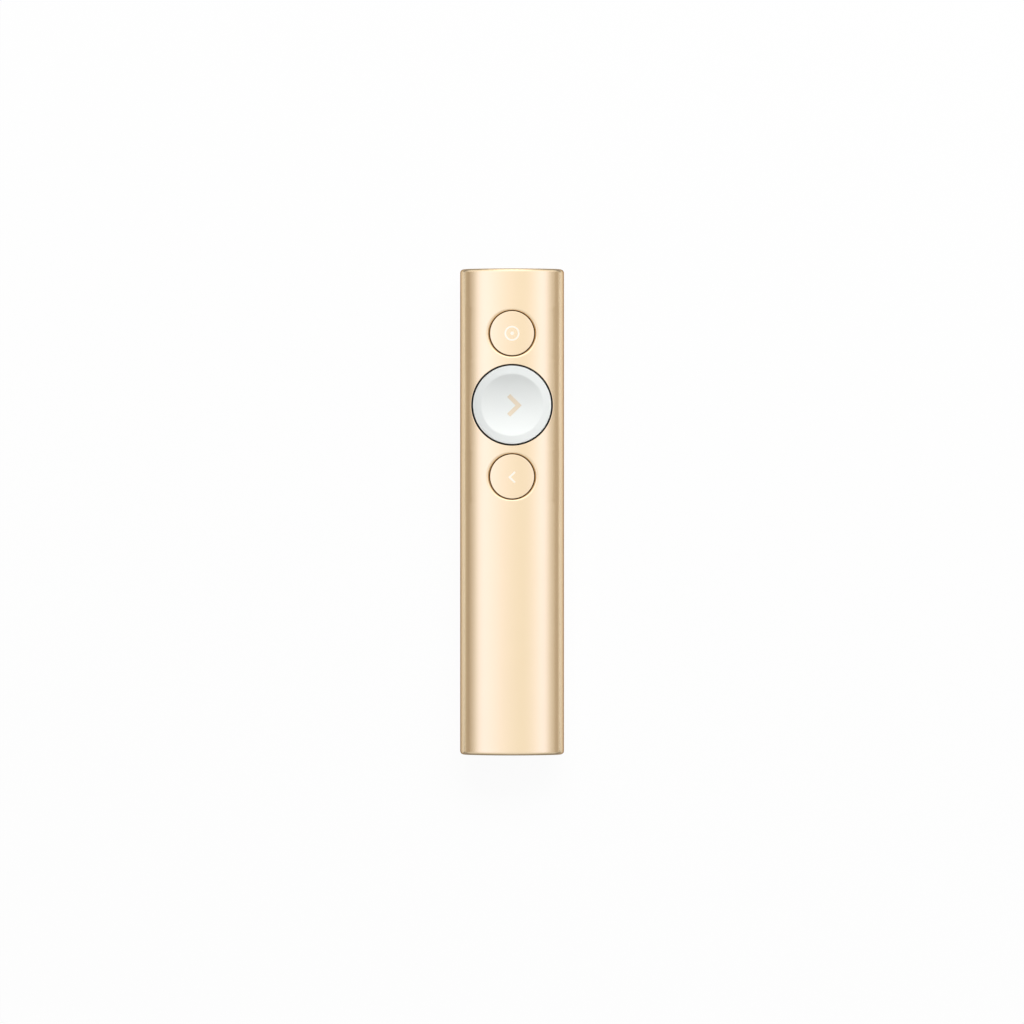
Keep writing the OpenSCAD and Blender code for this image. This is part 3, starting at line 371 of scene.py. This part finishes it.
# Each hole lies in a patch of side_rows rows, by place, half length, radius and worn edge.
side_rows, small_patch, next_patch = 40, 7.4, 11.9
holes = [(back_y, small_patch, small_hole_r, small_edge),
         (next_y, next_patch, next_hole_r, next_edge),
         (pointer_y, small_patch, small_hole_r, small_edge)]
# Rows of points outwards from a hole, which ray_power crowds near it.
ray_rows, ray_power = 15, 1.4
# Rows along the plain stretches at the tail and at the nose, the last one near_rim before the
# rim, and rows over each rounded edge.
tail_rows, nose_rows, near_rim, edge_rows = 30, 8, 0.1, 9
centre, radius, normal = oval_stations(top_x)


def oval_ring(inset, y):
    """The oval's closed section at an inset and a place along the sleeve, planed flat at z = 0."""
    section = centre + (radius - inset)[:, None] * normal
    z = np.maximum(section[:, 1], 0)
    return np.stack([section[:, 0], np.full(len(section), y), z], axis=1)


def edge_width(edge, turn):
    """Width in plan of a hole's worn edge by the direction turn round it: the tumbling media runs
    across the tube, so the sides wear by edge and the nose and tail points by half of it."""
    return edge * (0.5 + 0.5 * np.abs(np.cos(turn)))


def hole_patch(hole, inset):
    """The skin round one hole: rays from the circle to the patch's straight border, at weights
    w = v ** ray_power, with the height of the oval. Rows run from the circle outwards."""
    y0, half, hole_r, edge = hole
    y = np.linspace(-half, half, side_rows + 1)
    inner_x = (centre + (radius - inset)[:, None] * normal)[:top_steps + 1, 0]
    loops = []
    for x in (top_x, inner_x):
        right = np.stack([np.full(side_rows, x[-1]), y[:-1]], axis=1)
        upper = np.stack([x[::-1][:-1], np.full(top_steps, half)], axis=1)
        loops.append(np.concatenate([right, upper, -right, -upper]))
    turn = np.arctan2(loops[0][:, 1], loops[0][:, 0])
    start_r = hole_r + (edge_width(edge, turn) if inset == 0 else 0)
    circle = np.stack([start_r * np.cos(turn), start_r * np.sin(turn)], axis=1)
    weight = (np.linspace(0, 1, ray_rows) ** ray_power)[:, None, None]
    plan = circle * (1 - weight) + loops[1] * weight
    z = oval_top(plan[..., 0], inset)
    points = np.concatenate([plan + [0, y0], z[..., None]], axis=2)
    return points.reshape(-1, 3), grid_faces(ray_rows, len(turn), wrap=True), turn


def hole_edge(hole, turn):
    """The worn edge, an arc w wide that leaves the skin level and turns down by edge_turn = t,
    r = hole_r + w (1 - sin b / sin t), and the wall below it down to the inner skin."""
    y0, _, hole_r, edge = hole
    bend = np.append(np.linspace(0, edge_turn, edge_rows), edge_turn)[:, None]
    width = edge_width(edge, turn)
    r = hole_r + width * (1 - np.sin(bend) / math.sin(edge_turn))
    x, y = r * np.cos(turn), r * np.sin(turn)
    z = oval_top(x) - width * (1 - np.cos(bend)) / math.sin(edge_turn)
    z[-1] = oval_top(x[-1], sleeve_wall)
    points = np.stack([x, y + y0, z], axis=2)
    return points.reshape(-1, 3), grid_faces(len(bend), len(turn), wrap=True)


def sleeve_patches():
    """All patches of the sleeve: for the outer and the inner skin the belly and sides, the plain
    stretches of the face and the holes, then the rounded rims at both ends."""
    hole_y = [y0 + np.linspace(-half, half, side_rows + 1) for y0, half, _, _ in holes]
    patches = []
    for inset, end in ((0.0, half_length - end_round), (sleeve_wall, half_length)):
        before = np.append(-end, np.linspace(-end + near_rim, hole_y[0][0], tail_rows))
        after = np.append(np.linspace(hole_y[2][-1], end - near_rim, nose_rows), end)
        along = np.concatenate([before, *[y[1:] for y in hole_y], after[1:]])
        rings = np.stack([oval_ring(inset, y) for y in along])
        under = np.concatenate([rings[:, top_steps:], rings[:, :1]], axis=1)
        patches.append((under.reshape(-1, 3), grid_faces(len(along), under.shape[1])))
        for stretch in (before, after):
            face = np.stack([oval_ring(inset, y)[:top_steps + 1] for y in stretch])
            patches.append((face.reshape(-1, 3), grid_faces(len(stretch), top_steps + 1)))
        for hole in holes:
            points, quads, turn = hole_patch(hole, inset)
            patches.append((points, quads))
            if inset == 0:
                patches.append(hole_edge(hole, turn))
    bend = np.linspace(0, math.pi / 2, edge_rows)
    for tip in (-1, 1):
        rings = [oval_ring(end_round * (1 - math.cos(b)),
                           tip * (half_length - end_round * (1 - math.sin(b)))) for b in bend]
        rings.append(oval_ring(sleeve_wall, tip * half_length))
        patches.append((np.concatenate(rings), grid_faces(len(rings), len(radius), wrap=True)))
    return patches


sleeve = surface_piece("anodised_sleeve", "housing", sleeve_patches(), smooth_angle=30)
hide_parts("housing_sleeve")


def srgb(code):
    """Linear RGB of a hex colour: each channel c becomes ((c + 0.055) / 1.055) ** 2.4."""
    channels = [int(code[i:i + 2], 16) / 255 for i in (1, 3, 5)]
    return [c / 12.92 if c <= 0.04045 else ((c + 0.055) / 1.055) ** 2.4 for c in channels]


def rgba(code):
    """The same with an alpha of 1."""
    return (*srgb(code), 1.0)


def finish(name, colour, metallic, roughness, grit, bump, texture="ShaderNodeTexNoise",
           height="Fac", stretch=(1, 1, 1), stir=1 / 6, second=None, drift=9, **sockets):
    """A surface material. Grains of grit millimetres, drawn out along an axis by stretch, raise a
    bump in millimetres and stir the roughness by a share of it; clouds of drift millimetres blend
    in a second colour where one is given."""
    material = bpy.data.materials.new(name)
    tree = empty_tree(material)
    place = add_node(tree, "ShaderNodeTexCoord").outputs["Object"]
    drawn = add_node(tree, "ShaderNodeMapping", {"Vector": place}, Scale=[1 / s for s in stretch])
    grain = add_node(tree, texture, {"Vector": drawn.outputs["Vector"]}, Scale=1 / (grit * mm))
    rough = add_node(tree, "ShaderNodeMapRange", {"Value": grain.outputs[height]},
                     To_Min=roughness * (1 - stir), To_Max=roughness * (1 + stir))
    relief = add_node(tree, "ShaderNodeBump", {"Height": grain.outputs[height]},
                      Strength=1.0, Distance=bump * mm)
    inputs = {"Roughness": rough.outputs["Result"], "Normal": relief.outputs["Normal"]}
    if second is None:
        inputs["Base Color"] = rgba(colour)
    else:
        cloud = add_node(tree, "ShaderNodeTexNoise", {"Vector": place}, Scale=1 / (drift * mm))
        tint = add_node(tree, "ShaderNodeMix", {"Factor": cloud.outputs["Fac"], 6: rgba(colour),
                                                7: rgba(second)}, data_type="RGBA")
        inputs["Base Color"] = tint.outputs[2]
    surface = add_node(tree, "ShaderNodeBsdfPrincipled", inputs, Metallic=metallic, **sockets)
    add_node(tree, "ShaderNodeOutputMaterial", {"Surface": surface.outputs["BSDF"]})
    return material


def paint(names, material):
    """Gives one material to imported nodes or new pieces."""
    for item in names:
        mesh = (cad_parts[item] if isinstance(item, str) else item).data
        mesh.materials.clear()
        mesh.materials.append(material)


# Blasting beads leave dimples of 0.05 mm, drawn at 0.12 mm to show, that blur reflections to a
# silky sheen. The dye lies in the clear oxide, so it deepens to bronze where the surface turns
# away.
anodised_gold = finish("bead-blasted gold anodised aluminium", "#F7E0BC", metallic=1.0,
                       roughness=0.2, grit=0.12, bump=0.0002, second="#F5DEBA", drift=7,
                       Specular_Tint=rgba("#976D44"))
paint([sleeve], anodised_gold)

# ---- Small keys ----
# Two aluminium caps that are blanked from sheet, domed to the sleeve's crown and anodised with it.
# A laser takes the colour off them for their signs: a dot in a circle, and a small angle.
small_r, cap_thickness, small_cap_edge, cap_drop = 5.96, 1.1, 0.12, 0.015
cap_rings = 24


def round_cap(r, edge, height, floor, ring_radii, sides=160, edge_steps=7):
    """A round cap about the origin: rings out to r - edge on the height(x, y) surface, a quarter
    circle of radius edge, then a wall down to floor(x, y) and the floor itself."""
    turn = np.linspace(0, 2 * math.pi, sides, endpoint=False)
    bend = np.linspace(0, math.pi / 2, edge_steps + 1)[1:]
    radii = np.concatenate([ring_radii, r - edge * (1 - np.sin(bend)), [r, 0]])
    x, y = radii[:, None] * np.cos(turn), radii[:, None] * np.sin(turn)
    z = height(x, y)
    z[len(ring_radii):-2] -= (edge * (1 - np.cos(bend)))[:, None]
    z[-2:] = floor(x[-2:], y[-2:])
    return np.stack([x, y, z], axis=2), grid_faces(len(radii), sides, wrap=True)


def cap_crown(x, y):
    """Top of the small caps: the sleeve's face, lower by cap_drop."""
    return oval_top(x) - cap_drop


def cap_floor(x, y):
    """Underside of the small caps."""
    return oval_top(x, cap_thickness)


small_caps = []
for key, key_y in (("pointer", pointer_y), ("back", back_y)):
    points, quads = round_cap(small_r, small_cap_edge, cap_crown, cap_floor,
                              np.linspace(0, small_r - small_cap_edge, cap_rings))
    cap = surface_piece(f"{key}_cap_anodised", f"{key}_key",
                        [(points.reshape(-1, 3) + [0, key_y, 0], quads)])
    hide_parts(f"{key}_cap")
    small_caps.append(cap)
paint(small_caps, anodised_gold)

# A sign stands sign_height above its cap and reaches sign_base down into it.
sign_height, sign_base = 0.012, 0.06


def angle_sign(name, body, apex, reach, stroke, pointing, y0, height, columns=5, rows=13):
    """An angle of two 45 degree legs that meet on a mitre, pointing right (1) or left (-1): u
    along a leg and a across it lie at x = apex + (a - u) / sqrt 2, y = (a + u) / sqrt 2, with u
    from -a to reach * sqrt 2."""
    a = np.linspace(-stroke / 2, stroke / 2, columns)[None, :]
    u = np.linspace(0, 1, rows)[:, None] * (reach * math.sqrt(2) + a) - a
    x, half_y = pointing * (apex + (a - u) / math.sqrt(2)), (a + u) / math.sqrt(2)
    blocks = []
    for y in (-half_y, half_y):
        top = np.stack([x, y + y0, height(x, y) + sign_height], axis=2)
        low = top - [0, 0, sign_base]
        rims = [np.concatenate([side[0], side[1:, -1], side[-1, -2::-1], side[-2:0:-1, 0]])
                for side in (top, low)]
        blocks.append((top.reshape(-1, 3), grid_faces(*x.shape)))
        blocks.append((low.reshape(-1, 3), grid_faces(*x.shape)))
        blocks.append((np.concatenate(rims), grid_faces(2, len(rims[0]), wrap=True)))
    return surface_piece(name, body, blocks)


def ring_sign(name, body, inner, outer, x0, y0, key_y, height, sides=96):
    """A flat ring, or a dot where inner is 0, that follows the surface below it."""
    turn = np.linspace(0, 2 * math.pi, sides, endpoint=False)
    radii = np.array([inner, inner, (inner + outer) / 2, outer, outer, inner])
    x = x0 + radii[:, None] * np.cos(turn)
    y = y0 + radii[:, None] * np.sin(turn)
    lift = np.array([-sign_base] + [sign_height] * 3 + [-sign_base] * 2)[:, None]
    points = np.stack([x, y + key_y, height(x, y) + lift], axis=2)
    if inner == 0:
        points = points[1:]
    quads = grid_faces(len(points), sides, wrap=True)
    return surface_piece(name, body, [(points.reshape(-1, 3), quads)])


# The beam's parallel passes leave a frosted, paler metal, its lines drawn 0.15 mm apart to show.
etched_ivory = finish("laser-etched bare aluminium", "#FBF3E0", metallic=1.0, roughness=0.32,
                      grit=0.15, bump=0.0004, stretch=(12, 1, 1))
pointer_ring = ring_sign("pointer_sign_ring", "pointer_key", inner=1.57, outer=2.02, x0=-0.02,
                         y0=-0.03, key_y=pointer_y, height=cap_crown)
pointer_dot = ring_sign("pointer_sign_dot", "pointer_key", inner=0, outer=0.48, x0=0.04,
                        y0=-0.03, key_y=pointer_y, height=cap_crown)
back_sign = angle_sign("back_sign", "back_key", apex=0.66, reach=1.42, stroke=0.53, pointing=-1,
                       y0=back_y - 0.2, height=cap_crown)
paint([pointer_ring, pointer_dot, back_sign], etched_ivory)

# ---- Next key ----
# A thick cap moulded in white ABS. A round bar of the crown's own radius, laid across the key,
# sweeps out its thumb dish, so the dish's edge is a circle. The angle on it is hot-stamped gold.
next_r, next_cap_edge, dish_r = 10.55, 0.08, 8.35
next_skirt_z, dish_blend = 8.5, 0.03
dish_depth = crown_radius - math.sqrt(crown_radius**2 - dish_r**2)
bar_z = body_depth - dish_depth + crown_radius


def dished_crown(x, y):
    """The lower of the crown and the bar's underside, softly blended at their meeting circle:
    crown - k ln(1 + exp((crown - bar) / k)) with k the blend height."""
    bar = bar_z - np.sqrt(crown_radius**2 - y**2)
    drop = np.logaddexp(0, (oval_top(x) - bar) / dish_blend) * dish_blend
    return oval_top(x) - drop


def next_floor(x, y):
    """Lower edge of the next key's skirt."""
    return np.full_like(x, next_skirt_z)


# Rings crowd between close_start and close_end, round the dish's edge.
close_start, close_end, close_rings, outer_rings, next_sides = 7.9, 8.8, 18, 6, 224
radii = np.concatenate([np.linspace(0, close_start, cap_rings),
                        np.linspace(close_start, close_end, close_rings + 1)[1:],
                        np.linspace(close_end, next_r - next_cap_edge, outer_rings + 1)[1:]])
points, quads = round_cap(next_r, next_cap_edge, dished_crown, next_floor, radii, next_sides)
next_cap = surface_piece("next_cap_moulded", "next_key",
                         [(points.reshape(-1, 3) + [0, next_y, 0], quads)])
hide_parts("next_cap")
# A fine spark-eroded mould leaves ABS with a silky, slightly uneven gloss and no grain to see.
white_abs = finish("silky white moulded ABS", "#EDF0EE", metallic=0.0, roughness=0.34, grit=0.3,
                   bump=0.0006, second="#ECEFEC", drift=4)
paint([next_cap], white_abs)

# Foil pressed into the ABS keeps a little of its metal and takes on the plastic's fine texture.
stamped_foil = finish("hot-stamped gold foil", "#DDCEB6", metallic=0.35, roughness=0.42, grit=0.25,
                      bump=0.0008, second="#E0D1B8", drift=0.8)
next_sign = angle_sign("next_sign", "next_key", apex=1.74, reach=2.66, stroke=1.16, pointing=1,
                       y0=next_y - 0.12, height=dished_crown)
paint([next_sign], stamped_foil)

# ---- Covers, carriers and tray ----
# Glass-filled nylon mouldings: the nose cover, the tail plate and the carriers, whose lips show as
# dark seams round the keys. The tray slides into the sleeve, and the frame that guides the keys is
# screwed down on it.
# Glass fibre under a spark-eroded skin: a dark, dry face with fine pits that scatter highlights.
charcoal_nylon = finish("spark-textured charcoal nylon", "#242427", metallic=0.0, roughness=0.5,
                        grit=0.18, bump=0.004, texture="ShaderNodeTexVoronoi", height="Distance",
                        second="#29292C", drift=1.5)
paint(["nose_cover", "tail_plate"], charcoal_nylon)
# The carriers are coloured dark bronze as a painted reflection of the gold walls round the keys,
# so that the seams round the keys stay warm beside the gold.
gold_reflection_nylon = finish("spark-textured nylon, bronze for painted gold reflection", "#34260F", metallic=0.0, roughness=0.5,
                      grit=0.18, bump=0.004, texture="ShaderNodeTexVoronoi", height="Distance",
                      second="#392A12", drift=1.5)
paint(["pointer_carrier", "next_carrier", "back_carrier"], gold_reflection_nylon)
# Unfilled nylon from a plain ground mould: a little greyer, with faint lines from the grinding.
tray_nylon = finish("ground-mould dark grey nylon", "#3A3A3E", metallic=0.0, roughness=0.56,
                    grit=0.2, bump=0.003, stretch=(1, 8, 1), second="#404045", drift=5)
paint(["chassis", "keypad_frame"], tray_nylon)

# ---- Key works ----
# Under each key: an acetal plunger, a nickel-plated switch shell and a snap dome of spring steel
# that is stamped 0.1 mm thick. Four steel screws hold the frame and the main board on the tray.
# Acetal comes glossy black from a polished mould.
acetal = finish("polished black acetal", "#19191B", metallic=0.0, roughness=0.25, grit=0.3,
                bump=0.0005)
paint(["pointer_plunger", "next_plunger", "back_plunger"], acetal)
# A nickel skin over drawn steel is bright and slightly warm, with soft waves from the drawing.
plated_steel = finish("nickel-plated drawn steel", "#CDCBC6", metallic=1.0, roughness=0.28,
                      grit=0.5, bump=0.0015, second="#C3C2C0", drift=3)
paint(["pointer_switch", "next_switch", "back_switch"], plated_steel)
# Rolling and drawing leave fine streaks along the steel, which stretch highlights across them.
spring_steel = finish("rolled spring steel", "#B9BBC0", metallic=1.0, roughness=0.24, grit=0.06,
                      bump=0.0006, stretch=(1, 14, 1))
paint(["frame_screws"], spring_steel)


def snap_dome(key, sheet=0.1, rings=14, sides=64):
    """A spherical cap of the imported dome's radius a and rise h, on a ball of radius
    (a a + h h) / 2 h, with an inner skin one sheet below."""
    low, high = np.array(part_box(f"{key}_dome")) / mm
    a, h = (high[0] - low[0]) / 2, high[2] - low[2]
    ball = (a * a + h * h) / (2 * h)
    turn = np.linspace(0, 2 * math.pi, sides, endpoint=False)
    outer = np.linspace(0, a, rings)
    inner = np.linspace(math.sqrt((ball - sheet) ** 2 - (ball - h) ** 2), 0, rings)
    r = np.concatenate([outer, inner])[:, None]
    z = np.concatenate([np.sqrt(ball**2 - outer**2), np.sqrt((ball - sheet) ** 2 - inner**2)])
    z = z[:, None]
    middle = (low + high) / 2
    points = np.stack([middle[0] + r * np.cos(turn), middle[1] + r * np.sin(turn),
                       low[2] + np.maximum(z - ball + h, 0) + 0 * turn], axis=2)
    dome = surface_piece(f"{key}_snap_dome", "housing",
                         [(points.reshape(-1, 3), grid_faces(len(r), sides, wrap=True))])
    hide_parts(f"{key}_dome")
    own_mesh(dome)
    return dome


paint([snap_dome(key) for key in ("pointer", "next", "back")], spring_steel)


# ---- Main board ----
# A glass-epoxy board, routed from a panel, whose copper tracks stand up under green solder mask.
# It carries the chips, a ceramic antenna and the radio's plated screening can, all soldered on.
def board_finish(name, mask, over_copper, track_pitch, track_width, copper=0.035):
    """A board's mask: rows of tracks, as the joints of a brick pattern whose bricks are six
    pitches long, show as a lighter green and stand up by the copper's height."""
    material = bpy.data.materials.new(name)
    tree = empty_tree(material)
    place = add_node(tree, "ShaderNodeTexCoord").outputs["Object"]
    tracks = add_node(tree, "ShaderNodeTexBrick", {"Vector": place}, Color1=rgba(mask),
                      Color2=rgba(mask), Mortar=rgba(over_copper), Scale=1 / mm,
                      Mortar_Size=track_width, Brick_Width=track_pitch * 6, Row_Height=track_pitch)
    relief = add_node(tree, "ShaderNodeBump", {"Height": tracks.outputs["Fac"]},
                      Strength=1.0, Distance=copper * mm)
    surface = add_node(tree, "ShaderNodeBsdfPrincipled",
                       {"Base Color": tracks.outputs["Color"], "Normal": relief.outputs["Normal"]},
                       Roughness=0.28, Coat_Weight=0.3, Coat_Roughness=0.15)
    add_node(tree, "ShaderNodeOutputMaterial", {"Surface": surface.outputs["BSDF"]})
    return material


# The mask is a glossy lacquer: dark green over bare laminate, brighter where it covers copper.
solder_mask = board_finish("green solder mask over copper", "#0E4E2E", "#1B7143",
                           track_pitch=0.8, track_width=0.09)
paint(["main_board"], solder_mask)
# Moulded epoxy packages are matt and almost black, with a dusty grain of silica filler.
epoxy = finish("moulded black epoxy", "#151517", metallic=0.0, roughness=0.55, grit=0.08,
               bump=0.003, second="#1D1D20", drift=0.2)
paint(["board_parts"], epoxy)
# Fired ceramic is off-white and eggshell smooth.
ceramic = finish("fired antenna ceramic", "#EDEBE2", metallic=0.0, roughness=0.45, grit=0.1,
                 bump=0.002, second="#E4E0D4", drift=0.6)
paint(["chip_antenna"], ceramic)
paint(["shield_can"], plated_steel)

# ---- Battery and motor ----
# A lithium pouch on a foam pad, its leads and crimped connector, and the vibration motor in its
# rubber cradle with a half-round weight pressed on its shaft.
# The laminate's matt nylon face shows the aluminium through it and the cell's soft wrinkles.
pouch = finish("laminated aluminium pouch foil", "#B9BCC0", metallic=0.85, roughness=0.36,
               grit=1.6, bump=0.02, stretch=(3, 1, 1), second="#ABAEB3", drift=6)
paint(["battery"], pouch)
# Open cells of a third of a millimetre leave the pad with no gloss at all.
foam = finish("open-cell adhesive foam", "#D8D6C6", metallic=0.0, roughness=0.95, grit=0.35,
              bump=0.09, texture="ShaderNodeTexVoronoi", height="Distance", second="#C9C6B4",
              drift=1.0)
paint(["battery_pad"], foam)
# The jacket is extruded, so its gloss runs in fine lines along the lead.
lead_jacket = finish("extruded red lead jacket", "#B3211C", metallic=0.0, roughness=0.35,
                     grit=0.12, bump=0.001, stretch=(1, 20, 1), second="#A81C19", drift=2)
paint(["battery_leads"], lead_jacket)
# Natural nylon is milky and lets a little light in under its surface.
natural_nylon = finish("natural moulded nylon", "#E9E5DA", metallic=0.0, roughness=0.42, grit=0.3,
                       bump=0.001, second="#E2DDCF", drift=2, Subsurface_Weight=0.1,
                       Subsurface_Radius=(0.001, 0.0008, 0.0006), Subsurface_Scale=1.0)
paint(["battery_connector"], natural_nylon)
# Silicone rubber is soft black with a faint bloom of dust.
silicone = finish("black moulded silicone", "#1B1B1D", metallic=0.0, roughness=0.7, grit=0.2,
                  bump=0.003, second="#242427", drift=1.2, Sheen_Weight=0.15)
paint(["motor_cradle"], silicone)
paint(["vibration_motor"], plated_steel)
paint(["motor_shaft"], spring_steel)
# Sintered grains of 0.03 mm, drawn at 0.1 mm, give the heavy alloy a dull, sugary metal face.
heavy_metal = finish("sintered tungsten alloy", "#6E6F73", metallic=1.0, roughness=0.48, grit=0.1,
                     bump=0.004, texture="ShaderNodeTexVoronoi", height="Distance",
                     second="#636468", drift=0.5)
paint(["motor_weight"], heavy_metal)

# ---- Charging board, ribbon and light ----
# A small board behind the tail plate holds the charging port and the status light. A flexible
# printed ribbon, clamped at both ends, joins it to the main board, and a clear light pipe carries
# the light's glow through the tail plate.
paint(["charge_board"], solder_mask)
paint(["charge_port_shell"], plated_steel)
paint(["charge_port_tongue"], charcoal_nylon)
paint(["ribbon_connectors"], acetal)
# Amber film over copper: the copper's wide strips show through as a warmer band every 0.6 mm.
polyimide = finish("amber polyimide film over copper", "#B8741E", metallic=0.0, roughness=0.22,
                   grit=0.6, bump=0.01, stretch=(1, 60, 60), second="#A2641B", drift=3,
                   Coat_Weight=0.4)
paint(["flex_ribbon"], polyimide)
# Polycarbonate is water clear; a frosted trace of grain spreads the light.
clear_resin = finish("clear moulded polycarbonate", "#E4ECEC", metallic=0.0, roughness=0.12,
                     grit=0.4, bump=0.0004, IOR=1.58, Transmission_Weight=0.7)
paint(["status_led", "light_pipe"], clear_resin)

# ---- Receiver ----
# The radio receiver that is stowed in the tail: a grip and a neck of the covers' nylon, and a
# plug of drawn steel round a nylon tongue with gold contacts. A board with one chip lies inside.
paint(["receiver_grip", "receiver_housing"], charcoal_nylon)
paint(["receiver_board"], solder_mask)
paint(["receiver_chip"], epoxy)
paint(["receiver_plug_shell"], plated_steel)
paint(["receiver_tongue"], natural_nylon)
# Hard gold over nickel: a deep yellow mirror with the rolled copper's fine streaks.
gold_plate = finish("hard gold plate on copper", "#D9A441", metallic=1.0, roughness=0.18,
                    grit=0.05, bump=0.0004, stretch=(1, 10, 1))
paint(["receiver_contacts"], gold_plate)
